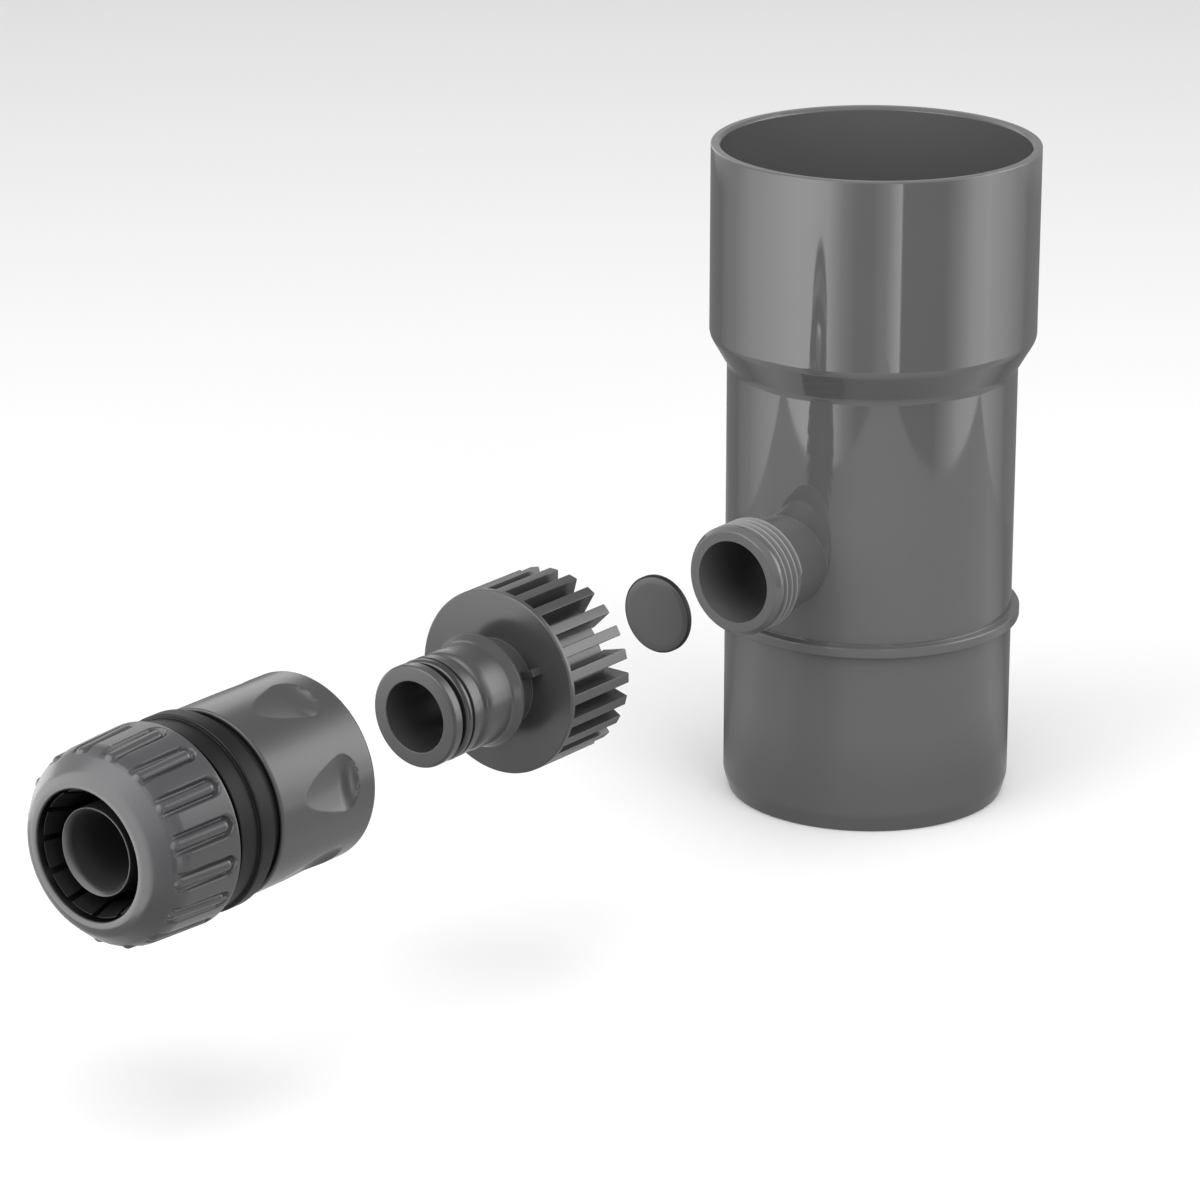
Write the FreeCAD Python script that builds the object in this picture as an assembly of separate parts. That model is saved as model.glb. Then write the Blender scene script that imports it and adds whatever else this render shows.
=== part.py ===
import FreeCAD, Part
import math
import os

# Rainwater diverter for a 90 mm round downpipe, with a screw-on hose adapter, a blanking disc
# and a snap-on hose connector, laid out as an exploded view along the outlet's axis.
# Millimetres. +Z is up along the pipe, and the origin is on the pipe's axis at its lower end.
# The outlet points along -Y. "out" is the distance from the pipe's axis along the outlet.

# Pipe fitting
pipe_r = 43.0              # outside of spigot and body, fits inside a 90 mm downpipe
pipe_wall = 2.8
spigot_len = 55.0          # from the lower end to the stop bead
lead_in_h = 5.2            # tapered end of the spigot
lead_in_depth = 1.6
bead_h = 3.9
bead_proud = 2.4
body_len = 74.2            # from the stop bead to the cone shoulder
cone_h = 9.1
socket_len = 57.1
socket_over = 2.3          # bore's radius over the spigot's: the downpipe's wall and some room
socket_wall = 3.0
rim_chamfer = 0.8

# Side outlet and the catch trough behind it
outlet_above_bead = 23.5   # outlet axis above the top of the bead
neck_len = 25.5            # from the pipe's wall to the outlet's end face
outlet_bore_r = 12.2
neck_wall = 2.8
neck_foot_r = 14.0         # the neck widens a little from the wall to the thread
neck_foot_len = 1.5
neck_root_fillet = 0.4
thread_depth = 1.4
thread_pitch = 2.44        # coarse pipe thread
thread_ridges = 4
thread_base = 1.9          # width of a ridge at its root
thread_land = 0.5          # flat crest of a ridge
thread_start = 4.5         # from the end face to the first ridge's centre
mouth_cone_len = 1.5       # cone at the mouth, in front of the plain land
mouth_cone_drop = 1.3
mouth_land = 1.3
mouth_ramp = 0.5           # from the land down to the thread's root
trough_gap = 8.2           # width of the annular trough
trough_floor_t = 2.5
trough_below_bore = 1.2    # floor below the lowest point of the outlet's bore
weir_wall = 2.0            # upstand between trough and overflow way
weir_above_bore = 4.0

# Blanking disc with its rubber face
disc_r = 11.3
disc_t = 1.2
disc_edge = 0.2
seal_t = 0.7
disc_apart = 36.5          # from the outlet's end to the disc's front face in the exploded view

# Screw adapter with the hose nipple
flange_apart = 71.1        # from the disc to the flange's front face in the exploded view
flange_r = 26.0
flange_t = 1.6
flange_edge = 0.4
floor_t = 3.0
cap_len = 25.1             # from the flange's front face to the tips of the ribs
ribs = 24
rib_w = 3.0
rib_overhang = 2.5         # ribs reach past the socket wall
thread_clear = 0.4         # radial room between the outlet's thread and the adapter
cap_wall = 2.8
gasket_t = 2.4
gasket_lap = 0.3           # gasket's hole round the disc
seat_gap = 0.05
nipple_len = 34.8          # from the flange's front face to the nipple's end
nipple_bore_r = 9.9
nipple_r = 14.3            # lands and body of the nipple
nose_chamfer = 0.5
land_len = 3.0             # from the nipple's end to the seal ring's groove
ring_groove_w = 5.3
ring_groove_depth = 2.2
o_ring_section_r = 1.05
o_ring_gap = 0.15
o_ring_from = 1.85         # from the groove's rear wall to the middle of the ring
second_land_w = 2.4
catch_groove_w = 2.8
catch_groove_depth = 1.4
catch_flare = 0.8          # rounded front edge of the catch groove
catch_flare_len = 2.4
stop_r = 16.0              # collar that stops the connector
stop_out = 7.5             # from the flange's face to the stop's rear edge
stop_w = 1.0
stop_flare = 2.4           # cone from the stop down to the nipple
nipple_draft = 0.1
root_r = 12.4              # between the flange and the stop
key_w = 2.2
key_len = 3.5
key_proud = 0.8
key_deg = 24.0

# Snap-on hose connector; "s" is the distance from its rear, nipple end
conn_apart = 45.1          # from the nipple's end to the connector in the exploded view
collar_r = 25.5
collar_len = 36.3
collar_lip_r = 18.0
collar_lip_t = 2.4
collar_relief_r = 22.0
cam_start = 12.5
cam_w = 5.0
cam_clear = 0.3
chamber_wall = 2.1
slide_clear = 0.3
collar_edge = 0.8
collar_travel = 3.6
dimples = 6
dimple_first_deg = 10.0
dimple_depth = 2.5
dimple_from = 5.0
dimple_to = 26.5
dimple_tool_r = 24.0       # cutter with a rounded end, its axis along the connector
dimple_tip_r = 17.3
dimple_tip_len = 8.0
dimple_bend_r = 22.3
dimple_bend_s = 2.2

tube_clear = 0.3           # radial room round the nipple
tube_wall = 2.7
tube_start = 1.6
tube_lead = 1.7
web_s = 29.0
web_t = 4.0
drum_s = 29.5
drum_r = 24.2
ring_b_r = 26.4
ring_b_w = 4.8
ring_a_r = 25.3
ring_edge = 0.5
ring_a_w = 6.2
recess_r = 23.5
recess_w = 2.0
stem_r = 22.2              # threaded stem that carries the nut
stem_len = 9.8
hose_room = 3.2            # wall of the hose that the connector takes
core_inner_r = 17.3
core_outer_r = 20.0
core_s = 38.0
window_clear = 0.4
window_extra_deg = 4.0
plug_gap = 0.8             # between the tube and the stop's cone when pushed home

claw_base_w = 2.2
claw_base_r = 21.6
claws = 4
claw_deg = 40.0
claw_arm_r = 19.7
claw_fit = 0.1
claw_reach = 0.6           # how far the teeth reach into the catch groove's depth
claw_tooth_w = 2.2

spring_wire_r = 0.7
spring_turns = 4
spring_mean_r = 20.4
spring_sides = 24          # straight stretches of wire in one turn

tail_r = 11.7
tail_bore_r = 9.0
tail_end_s = 77.3
tail_flange_t = 2.9
tail_lip = 0.3
tail_flare = 2.3           # depth of the flared mouth
tail_barbs = 3
barb_h = 0.5
barb_pitch = 7.0
barb_slope = 4.2
tail_fit = 0.1
tail_ring_section_r = 0.7
tail_ring_shift = 0.6      # outwards from the middle of the tail's flange

collet_base_w = 2.5
collet_gap = 0.3
finger_count = 12
finger_gap = 1.6
finger_tip_s = 78.6
finger_root_r = 19.0
finger_tip_r = 16.9
finger_inner_r = 14.6

nut_len = 27.3
nut_rear_r = 27.1
nut_front_r = 26.3
nut_barrel_len = 19.0
nut_shoulder_w = 3.0
nut_neck_r = 24.2
nut_dome_drop = 1.4        # radius lost from the shoulder to the middle of the dome
nut_lip_w = 1.6
nut_lip_h = 1.5
nut_lip_bend = 0.45
nut_edge = 0.6
nut_clear = 0.4
nut_gap = 0.3
nut_mouth_r = 17.2
nut_mouth_w = 0.8
nut_cone_from = 14.5
nut_cone_r = 20.6
nut_cone_step = 1.0
nut_bars = 16
nut_bar_first_deg = -7.0
nut_bar_r = 1.7
nut_bar_from = 2.6         # from the nut's rear edge to the rounded rear end of a bar
nut_bar_to = 23.4
nut_bar_sink = 1.9         # how much deeper a bar's axis lies at its front end
pocket_side = 1.4
pocket_depth = 1.8

lap = 0.5                  # how far fused forms reach into each other
cut_past = 1.0             # how far a cut runs past the surface it opens
near = 0.2                 # match of an edge's place

# Derived places
bead_z = spigot_len
bead_top = bead_z + bead_h
cone_z = bead_top + body_len
socket_z = cone_z + cone_h
top_z = socket_z + socket_len
inner_r = pipe_r - pipe_wall
socket_bore_r = pipe_r + socket_over
socket_r = socket_bore_r + socket_wall
outlet_z = bead_top + outlet_above_bead
outlet_end = pipe_r + neck_len
disc_out = outlet_end + disc_apart
flange_out = disc_out + flange_apart
neck_r = outlet_bore_r + neck_wall
crest_r = neck_r + thread_depth
weir_r = inner_r - trough_gap
overflow_r = weir_r - weir_wall
trough_z = outlet_z - outlet_bore_r - trough_below_bore
weir_top = outlet_z + outlet_bore_r + weir_above_bore

cap_bore_r = crest_r + thread_clear
cap_r = cap_bore_r + cap_wall
cap_floor = flange_out - floor_t
nipple_end = flange_out + nipple_len
groove_end = nipple_end - land_len
groove_start = groove_end - ring_groove_w
catch_end = groove_start - second_land_w
catch_start = catch_end - catch_groove_w
ring_floor_r = nipple_r - ring_groove_depth
catch_floor_r = nipple_r - catch_groove_depth
stop_edge = flange_out + stop_out
conn_out = nipple_end + conn_apart

tube_bore_r = nipple_r + tube_clear
tube_r = tube_bore_r + tube_wall
plugged_mouth = stop_edge + stop_w + plug_gap
plug_travel = conn_out + tube_start - plugged_mouth
claw_s = catch_start + plug_travel - conn_out + (catch_groove_w - claw_tooth_w) / 2
cam_r = claw_arm_r + cam_clear
chamber_r = collar_r - chamber_wall
skirt_r = drum_r + slide_clear
skirt_s = drum_s - collar_travel - slide_clear
ring_b_s = collar_len + collar_travel + slide_clear
ring_a_s = ring_b_s + ring_b_w
recess_s = ring_a_s + ring_a_w
stem_s = recess_s + recess_w
stem_end = stem_s + stem_len
cavity_r = tail_r + hose_room
cavity_s = web_s + web_t
tail_s = cavity_s + tail_fit
tail_flange_r = cavity_r - tail_fit
tail_ring_r = (tail_bore_r + tail_flange_r) / 2 + tail_ring_shift
tail_groove_depth = 2 * tail_ring_section_r + tail_fit
collet_s = stem_end + collet_gap
collet_r = stem_r - collet_gap
nut_s = stem_s + nut_gap
nut_bore_r = stem_r + nut_clear
nut_end = nut_s + nut_len


def vec(x, y, z):
    return FreeCAD.Vector(x, y, z)


def turned(points, arcs=None):
    """Solid of revolution about +Z from (radius, height) points.

    arcs maps the index of an edge to the middle point of its arc.
    """
    middles = arcs or {}
    places = [vec(r, 0, z) for r, z in points]
    edges = []
    for i, start in enumerate(places):
        end = places[(i + 1) % len(places)]
        if i in middles:
            r, z = middles[i]
            edges.append(Part.Arc(start, vec(r, 0, z), end).toShape())
        else:
            edges.append(Part.LineSegment(start, end).toShape())
    face = Part.Face(Part.Wire(edges))
    return face.revolve(vec(0, 0, 0), vec(0, 0, 1), 360)


def on_outlet(shape, out=0.0):
    """Moves a shape built along +Z to the outlet's axis, with its height measured outwards along -Y."""
    placed = shape.copy()
    placed.rotate(vec(0, 0, 0), vec(1, 0, 0), 90)
    placed.translate(vec(0, -out, outlet_z))
    return placed


def ring(inner, outer, low, high):
    return turned([(inner, low), (outer, low), (outer, high), (inner, high)])


def spoke(inner, outer, low, high, width, degrees):
    """Radial plate, centred on a direction measured from +X about the axis."""
    plate = Part.makeBox(outer - inner, width, high - low, vec(inner, -width / 2, low))
    plate.rotate(vec(0, 0, 0), vec(0, 0, 1), degrees)
    return plate


def sector(inner, outer, low, high, degrees, span):
    """Piece of a ring, centred on a direction."""
    face = Part.Face(Part.makePolygon([vec(inner, 0, low), vec(outer, 0, low), vec(outer, 0, high),
                                       vec(inner, 0, high), vec(inner, 0, low)]))
    piece = face.revolve(vec(0, 0, 0), vec(0, 0, 1), span)
    piece.rotate(vec(0, 0, 0), vec(0, 0, 1), degrees - span / 2)
    return piece


def at_angle(shape, degrees):
    """Copy turned about the axis. The directions are measured from +X towards +Z once on the outlet."""
    turned_shape = shape.copy()
    turned_shape.rotate(vec(0, 0, 0), vec(0, 0, 1), degrees)
    return turned_shape


def around(count, first=0.0):
    return [first + i * 360.0 / count for i in range(count)]


def neck_profile():
    """Outlet neck with its thread, as (radius, out) points from the pipe's axis outwards."""
    first = outlet_end - thread_start - (thread_ridges - 1) * thread_pitch
    points = [(0, 0), (neck_foot_r, 0), (neck_foot_r, pipe_r + neck_foot_len),
              (neck_r, first - thread_base)]
    for i in range(thread_ridges):
        middle = first + i * thread_pitch
        points.append((neck_r, middle - thread_base / 2))
        points.append((crest_r, middle - thread_land / 2))
        points.append((crest_r, middle + thread_land / 2))
        points.append((neck_r, middle + thread_base / 2))
    cone_start = outlet_end - mouth_cone_len
    land_start = cone_start - mouth_land
    points.append((neck_r, land_start - mouth_ramp))
    points.append((crest_r, land_start))
    points.append((crest_r, cone_start))
    points.append((crest_r - mouth_cone_drop, outlet_end))
    points.append((0, outlet_end))
    return points


def diverter_body():
    tip_r = pipe_r - lead_in_depth
    bead_r = pipe_r + bead_proud
    outside = [(0, 0), (tip_r, 0), (pipe_r, lead_in_h), (pipe_r, bead_z), (pipe_r, bead_top),
               (pipe_r, cone_z), (socket_r, socket_z), (socket_r, top_z), (0, top_z)]
    bead_edge = 3
    shell = turned(outside, {bead_edge: (bead_r, bead_z + bead_h / 2)})
    neck = on_outlet(turned(neck_profile()))
    shell = shell.fuse(neck)
    shell = root_rounded(shell)
    upper = [(0, trough_z), (inner_r, trough_z), (inner_r, cone_z + pipe_wall / 2),
             (socket_bore_r, socket_z + pipe_wall / 4), (socket_bore_r, top_z - rim_chamfer),
             (socket_bore_r + rim_chamfer, top_z), (0, top_z)]
    shell = shell.cut(turned(upper))
    floor_z = trough_z - trough_floor_t
    shell = shell.cut(Part.makeCylinder(inner_r, floor_z))
    way = Part.makeCylinder(overflow_r, trough_floor_t + 2 * cut_past, vec(0, 0, floor_z - cut_past))
    shell = shell.cut(way)
    weir = ring(overflow_r, weir_r, floor_z, weir_top)
    shell = shell.fuse(weir)
    bore_start = weir_r + trough_gap / 2
    bore = Part.makeCylinder(outlet_bore_r, outlet_end - bore_start)
    shell = shell.cut(on_outlet(bore, bore_start))
    return shell.removeSplitter()


def root_rounded(shell):
    """Small fillet where the neck leaves the pipe wall."""
    side_y = math.sqrt(pipe_r ** 2 - neck_foot_r ** 2)
    edges = []
    for edge in shell.Edges:
        box = edge.BoundBox
        if abs(box.YMin + pipe_r) < near and abs(box.YMax + side_y) < near:
            edges.append(edge)
    return shell.makeFillet(neck_root_fillet, edges)


def blanking_disc():
    points = [(0, disc_out - disc_t), (disc_r, disc_out - disc_t), (disc_r, disc_out - disc_edge),
              (disc_r - disc_edge, disc_out), (0, disc_out)]
    return on_outlet(turned(points))


def disc_seal():
    back = disc_out - disc_t - seal_t
    return on_outlet(Part.makeCylinder(disc_r, seal_t, vec(0, 0, back)))


def nipple_profile():
    """Nipple from the flange outwards, as (radius, out) points of its outside."""
    return [
        (root_r, flange_out),
        (root_r, stop_edge),
        (stop_r, stop_edge),
        (stop_r, stop_edge + stop_w),
        (nipple_r + nipple_draft, stop_edge + stop_w + stop_flare),
        (nipple_r, catch_start - catch_flare_len),
        (nipple_r - catch_flare / 2, catch_start - catch_flare),
        (catch_floor_r, catch_start),
        (catch_floor_r, catch_end),
        (nipple_r, catch_end),
        (nipple_r, groove_start),
        (ring_floor_r, groove_start),
        (ring_floor_r, groove_end),
        (nipple_r, groove_end),
        (nipple_r, nipple_end - nose_chamfer),
        (nipple_r - nose_chamfer, nipple_end),
    ]


def outlet_adapter():
    rib_tip = flange_out - cap_len
    cap_end = rib_tip + rib_overhang
    outside = [(cap_bore_r, cap_floor), (cap_bore_r, cap_end), (cap_r, cap_end),
               (cap_r, flange_out - flange_t), (flange_r, flange_out - flange_t),
               (flange_r, flange_out - flange_edge), (flange_r - flange_edge, flange_out)]
    inside = [(nipple_bore_r, nipple_end), (nipple_bore_r, cap_floor)]
    cap = turned(outside + nipple_profile() + inside)
    rib_root = cap_r - cap_wall / 2
    for degrees in around(ribs):
        rib = spoke(rib_root, flange_r + cut_past, rib_tip, flange_out - flange_t / 2, rib_w, degrees)
        cap = cap.fuse(rib)
    trim = ring(flange_r, flange_r + 2 * cut_past, rib_tip - cut_past, nipple_end)
    cap = cap.cut(trim)
    key = spoke(root_r - lap, stop_r + key_proud, flange_out - lap, flange_out + key_len,
                key_w, key_deg)
    cap = cap.fuse(key)
    return on_outlet(cap.removeSplitter())


def adapter_gasket():
    face = cap_floor - seat_gap
    hole_r = disc_r + gasket_lap
    return on_outlet(ring(hole_r, cap_bore_r - thread_clear, face - gasket_t, face))


def torus_ring(mean_r, section_r, out):
    return on_outlet(Part.makeTorus(mean_r, section_r), out)


def nipple_o_ring():
    mean_r = ring_floor_r + o_ring_gap + o_ring_section_r
    return torus_ring(mean_r, o_ring_section_r, groove_start + o_ring_from)


def tail_o_ring():
    out = conn_out + cavity_s - tail_groove_depth / 2
    return torus_ring(tail_ring_r, tail_ring_section_r, out)


def release_collar():
    end = collar_len
    points = [
        (collar_lip_r, 0),
        (collar_r - collar_edge, 0),
        (collar_r, collar_edge),
        (collar_r, end - collar_edge / 2),
        (collar_r - collar_edge / 2, end),
        (skirt_r, end),
        (skirt_r, skirt_s),
        (chamber_r, skirt_s),
        (chamber_r, cam_start + cam_w),
        (cam_r, cam_start + cam_w),
        (cam_r, cam_start),
        (collar_relief_r, cam_start),
        (collar_relief_r, collar_lip_t),
        (collar_lip_r, collar_lip_t),
    ]
    sleeve = turned(points)
    for degrees in around(dimples, dimple_first_deg):
        sleeve = sleeve.cut(at_angle(dimple_tool(), degrees))
    return on_outlet(sleeve.removeSplitter(), conn_out)


def dimple_tool():
    """Blunt-nosed round tool, tilted so that its cut is deep at the rear and runs out to the front."""
    length = dimple_to - dimple_from
    nose = [(0, 0), (dimple_tip_r, 0), (dimple_tool_r, dimple_tip_len),
            (dimple_tool_r, length * 2), (0, length * 2)]
    nose_edge = 1
    tool = turned(nose, {nose_edge: (dimple_bend_r, dimple_bend_s)})
    tilt = math.degrees(math.atan(dimple_depth / length))
    tool.rotate(vec(0, 0, 0), vec(0, 1, 0), tilt)
    tool.translate(vec(collar_r + dimple_tool_r - dimple_depth, 0, dimple_from))
    return tool


def connector_body():
    lead_r = tube_bore_r + tube_lead
    points = [
        (tail_bore_r + tail_fit, web_s),
        (tube_bore_r, web_s),
        (tube_bore_r, tube_start + tube_lead),
        (lead_r, tube_start),
        (tube_r, tube_start),
        (tube_r, drum_s),
        (drum_r, drum_s),
        (drum_r, ring_b_s),
        (ring_b_r, ring_b_s),
        (ring_b_r, ring_a_s - ring_edge),
        (ring_b_r - ring_edge, ring_a_s),
        (ring_a_r, ring_a_s),
        (ring_a_r, recess_s),
        (recess_r, recess_s),
        (recess_r, stem_s),
        (stem_r, stem_s),
        (stem_r, stem_end),
        (core_outer_r, stem_end),
        (core_outer_r, core_s),
        (core_inner_r, core_s),
        (core_inner_r, stem_end),
        (cavity_r, stem_end),
        (cavity_r, cavity_s),
        (tail_bore_r + tail_fit, cavity_s),
    ]
    body = turned(points)
    half = tail_ring_section_r + tail_fit
    groove = ring(tail_ring_r - half, tail_ring_r + half, cavity_s - tail_groove_depth,
                  cavity_s + cut_past)
    body = body.cut(groove)
    for degrees in around(claws, 360.0 / claws / 2):
        window = sector(tube_bore_r - cut_past, tube_r + cut_past, claw_s - window_clear,
                        claw_s + claw_tooth_w + window_clear, degrees, claw_deg + window_extra_deg)
        body = body.cut(window)
    return on_outlet(body.removeSplitter(), conn_out)


def claw_ring():
    base_end = cam_start - cam_clear
    inner = tube_r + claw_fit
    arm_end = claw_s + claw_tooth_w
    claw = ring(inner, claw_base_r, base_end - claw_base_w, base_end)
    tooth_r = catch_floor_r + claw_reach
    for degrees in around(claws, 360.0 / claws / 2):
        arm = sector(inner, claw_arm_r, base_end - lap, arm_end, degrees, claw_deg)
        tooth = sector(tooth_r, inner + lap, claw_s, arm_end, degrees, claw_deg)
        claw = claw.fuse(arm).fuse(tooth)
    return on_outlet(claw.removeSplitter(), conn_out)


def collar_spring():
    low = cam_start + cam_w + spring_wire_r + seat_gap * 2
    height = drum_s - spring_wire_r - seat_gap * 2 - low
    steps = spring_turns * spring_sides
    path = []
    for i in range(steps + 1):
        turn = 2 * math.pi * i / spring_sides
        path.append(vec(spring_mean_r * math.cos(turn), spring_mean_r * math.sin(turn),
                        low + height * i / steps))
    section = Part.makeCircle(spring_wire_r, path[0], path[1] - path[0])
    mitred = 1
    wire = Part.makePolygon(path).makePipeShell([Part.Wire([section])], True, True, mitred)
    return on_outlet(wire, conn_out)


def hose_tail():
    flange_end = tail_s + tail_flange_t
    points = [(tail_bore_r, tail_s), (tail_flange_r, tail_s), (tail_flange_r, flange_end),
              (tail_r, flange_end)]
    for i in range(tail_barbs):
        foot = flange_end + (i + 1) * barb_pitch
        points.append((tail_r, foot))
        points.append((tail_r + barb_h, foot))
        points.append((tail_r, foot + barb_slope))
    points.append((tail_r, tail_end_s - tail_lip))
    points.append((tail_r - tail_lip, tail_end_s))
    points.append((tail_bore_r, tail_end_s - tail_flare))
    return on_outlet(turned(points), conn_out)


def hose_collet():
    base_end = collet_s + collet_base_w
    collet = ring(cavity_r, collet_r, collet_s, base_end)
    fingers = turned([(finger_inner_r, base_end - lap), (finger_root_r, base_end - lap),
                      (finger_tip_r, finger_tip_s), (finger_inner_r, finger_tip_s)])
    for degrees in around(finger_count):
        slot = spoke(finger_inner_r - cut_past, collet_r, base_end, finger_tip_s + cut_past,
                     finger_gap, degrees)
        fingers = fingers.cut(slot)
    return on_outlet(collet.fuse(fingers).removeSplitter(), conn_out)


def nut_blank():
    shoulder = nut_s + nut_barrel_len
    neck = shoulder + nut_shoulder_w
    dome_r = nut_mouth_r + nut_lip_w
    dome_bend = (nut_neck_r - nut_dome_drop, (neck + nut_end) / 2)
    lip_bend = (nut_mouth_r + nut_lip_bend, nut_end - nut_lip_bend)
    outside = [(nut_bore_r, nut_s), (nut_rear_r - nut_edge, nut_s), (nut_rear_r, nut_s + nut_edge),
               (nut_front_r, shoulder), (nut_neck_r, neck), (dome_r, nut_end),
               (nut_mouth_r, nut_end - nut_lip_h)]
    dome_edge = 4
    lip_edge = 5
    inside = [(nut_mouth_r, nut_end - nut_lip_h - nut_mouth_w), (nut_cone_r, nut_s + nut_cone_from),
              (nut_bore_r, nut_s + nut_cone_from - nut_cone_step)]
    return turned(outside + inside, {dome_edge: dome_bend, lip_edge: lip_bend})


def pocket_tool(floor_r):
    """Slot round one bar, open to the shoulder, with a rounded rear end."""
    half = nut_bar_r + pocket_side
    rear = nut_s + nut_bar_from + nut_bar_r
    front = nut_s + nut_barrel_len + nut_shoulder_w
    slot = Part.makeBox(nut_rear_r, 2 * half, front - rear, vec(floor_r, -half, rear))
    end = Part.makeCylinder(half, nut_rear_r, vec(floor_r, 0, rear), vec(1, 0, 0))
    return slot.fuse(end)


def nut_bar(centre_r):
    """One grip bar: a round bar with ball ends, half sunk in the pocket's floor."""
    rear = vec(centre_r, 0, nut_s + nut_bar_from + nut_bar_r)
    front = vec(centre_r - nut_bar_sink, 0, nut_s + nut_bar_to - nut_bar_r)
    run = front - rear
    bar = Part.makeCylinder(nut_bar_r, run.Length, rear, run)
    bar = bar.fuse(Part.makeSphere(nut_bar_r, rear))
    return bar.fuse(Part.makeSphere(nut_bar_r, front))


def clamp_nut():
    nut = nut_blank()
    floor_r = nut_rear_r - pocket_depth
    for degrees in around(nut_bars, nut_bar_first_deg):
        nut = nut.cut(at_angle(pocket_tool(floor_r), degrees))
    for degrees in around(nut_bars, nut_bar_first_deg):
        nut = nut.fuse(at_angle(nut_bar(floor_r), degrees))
    return on_outlet(nut.removeSplitter(), conn_out)


nodes = {
    "diverter_body": diverter_body,
    "blanking_disc": blanking_disc,
    "disc_seal": disc_seal,
    "outlet_adapter": outlet_adapter,
    "adapter_gasket": adapter_gasket,
    "nipple_o_ring": nipple_o_ring,
    "release_collar": release_collar,
    "connector_body": connector_body,
    "claw_ring": claw_ring,
    "collar_spring": collar_spring,
    "tail_o_ring": tail_o_ring,
    "hose_tail": hose_tail,
    "hose_collet": hose_collet,
    "clamp_nut": clamp_nut,
}

os.makedirs("parts", exist_ok=True)
for name, make in nodes.items():
    solid = make()
    solid.exportStep("parts/" + name + ".step")
    box = solid.BoundBox
    print(name, len(solid.Solids), "solid", round(solid.Volume / 1000, 2), "cm3",
          "y", round(box.YMin, 1), round(box.YMax, 1), "valid", solid.isValid())

print("adapter travel", round(cap_floor - gasket_t - outlet_end - 2 * seat_gap, 2))
print("plug travel", round(plug_travel, 2))
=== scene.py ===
# %% [markdown]
# # A rainwater diverter, taken apart
# The object is a plastic fitting for a round downpipe. A side outlet with a thread lets collected
# water out. In front of it, on the outlet's axis, hang the pieces that close it: a small blanking
# disc, a ribbed screw adapter with a hose nipple, and a push-on hose connector.
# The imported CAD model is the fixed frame. Every piece below is made in metres in that same frame.

# %% The frame
import math

import bmesh
import bpy
from mathutils import Matrix, Vector


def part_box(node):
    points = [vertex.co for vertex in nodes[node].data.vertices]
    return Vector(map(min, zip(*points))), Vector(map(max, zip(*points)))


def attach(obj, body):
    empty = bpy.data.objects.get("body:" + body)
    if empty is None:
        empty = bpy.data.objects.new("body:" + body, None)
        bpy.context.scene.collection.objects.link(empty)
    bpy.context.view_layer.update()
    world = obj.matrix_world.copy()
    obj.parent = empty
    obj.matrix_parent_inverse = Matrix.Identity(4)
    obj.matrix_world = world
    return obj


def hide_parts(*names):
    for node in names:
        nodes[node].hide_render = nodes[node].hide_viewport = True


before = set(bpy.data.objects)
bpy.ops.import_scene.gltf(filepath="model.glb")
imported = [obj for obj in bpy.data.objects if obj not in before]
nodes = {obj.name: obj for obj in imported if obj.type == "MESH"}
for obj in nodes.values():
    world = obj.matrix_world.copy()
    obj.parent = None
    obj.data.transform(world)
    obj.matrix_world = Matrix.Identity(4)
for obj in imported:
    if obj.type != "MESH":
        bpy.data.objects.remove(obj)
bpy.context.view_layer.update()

# %% [markdown]
# ## Two axes
# Nearly every piece is round, about one of two lines: the upright pipe, and the outlet's axis,
# which points along -Y at the height of the outlet. A place on an axis is a radius and a distance
# along it, in millimetres, as a turner would read it from a drawing. On the outlet's axis the
# distance counts from the middle of the pipe. The connector has its own count from its rear end.
# The scene is in metres, so every number is multiplied by MM where it becomes a place.

# %% Axes and units
MM = 0.001
TURN = 2 * math.pi
ACROSS = Vector((1, 0, 0))

adapter_low, adapter_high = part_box("outlet_adapter")
collar_low, collar_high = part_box("release_collar")
PIPE = (Vector((0, 0, 0)), Vector((0, 0, 1)))
OUTLET = (Vector((0, 0, (adapter_low.z + adapter_high.z) / 2 / MM)), Vector((0, -1, 0)))
CONNECTOR = (OUTLET[0] + OUTLET[1] * (-collar_high.y / MM), OUTLET[1])
print("outlet's axis at", round(OUTLET[0].z, 1), "mm, connector from", round(CONNECTOR[0].y, 1))

# %% [markdown]
# ## Turning a profile
# Injection moulds for round pieces are turned on a lathe, so the model is made the same way: a
# closed outline of corners is spun once round its axis. A third number on a corner rounds it
# first, and says how far from the corner the rounding starts. A bevel of the outline's vertices
# does that, far cheaper than a bevel of the finished solid. An optional relief function then
# presses pockets and dimples into the skin, because a mould maker cuts them after turning too.
# Where a relief needs more vertices, the outline's long edges are divided inside a zone.

# %% Lathe
CREASE = 34
SAME_PLACE = 1e-7


def finished(name, shape, crease=CREASE):
    """Makes an object of a bmesh, shaded smooth up to the crease angle."""
    mesh = bpy.data.meshes.new(name)
    shape.to_mesh(mesh)
    shape.free()
    mesh.shade_smooth()
    mesh.set_sharp_from_angle(angle=math.radians(crease))
    piece = bpy.data.objects.new(name, mesh)
    bpy.context.scene.collection.objects.link(piece)
    even = piece.modifiers.new("even_shading", "WEIGHTED_NORMAL")
    even.keep_sharp = True
    print(name, len(mesh.polygons), "faces")
    return piece


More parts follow.
